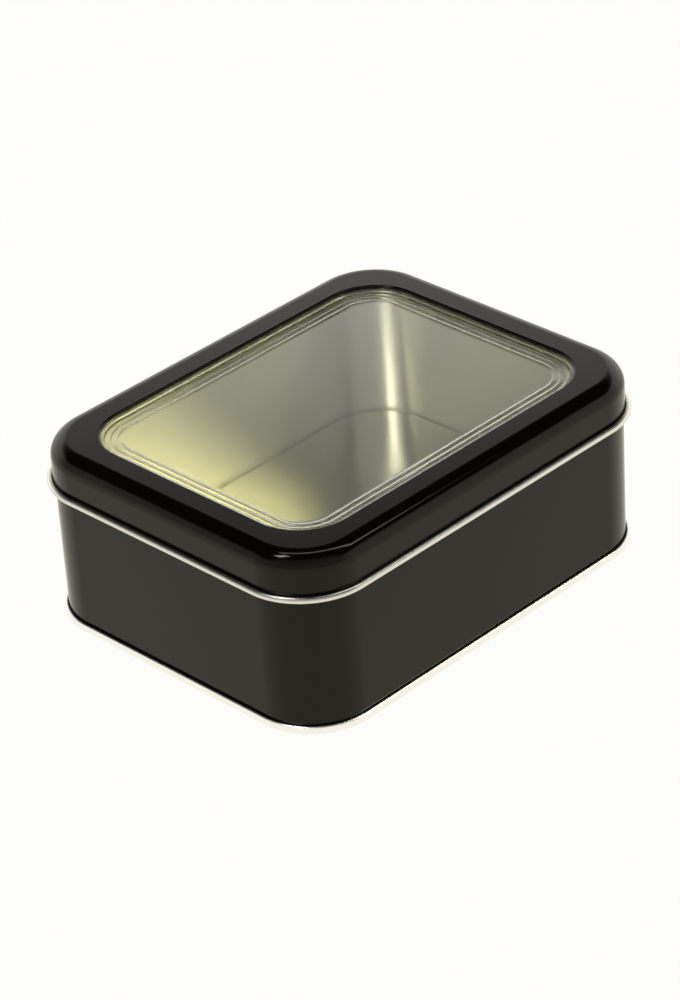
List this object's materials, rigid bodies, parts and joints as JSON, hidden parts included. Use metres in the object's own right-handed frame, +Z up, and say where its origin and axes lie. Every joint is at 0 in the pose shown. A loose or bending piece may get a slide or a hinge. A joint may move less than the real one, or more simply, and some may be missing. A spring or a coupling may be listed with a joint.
{
  "type": "windowed storage tin",
  "caption": "Rectangular black tinplate box with a slip-on lid that holds a clear beaded window, curled edges and a rolled foot seam.",
  "frame": {"origin": "centre of the footprint, on the surface that the tin stands on", "axes": "+Z up, the way the lid lifts; +X along the long side; the side seam is on the +Y wall"},
  "size_m": [0.1546, 0.1226, 0.06],
  "materials": {
    "black_tinplate": "gloss black enamel outside, bright tinplate inside",
    "bright_tinplate": "satin",
    "clear_sheet": "clear, formed"
  },
  "bodies": {
    "box": {"body_wall": "black_tinplate", "base_panel": "bright_tinplate"},
    "lid": {"lid_frame": "black_tinplate", "window_pane": "clear_sheet", "window_retainer": "bright_tinplate"}
  },
  "joints": [
    {"name": "lid_lift", "type": "slide", "parent": "box", "child": "lid", "axis": [0, 0, 1], "range_m": [0, 0.06]}
  ]
}
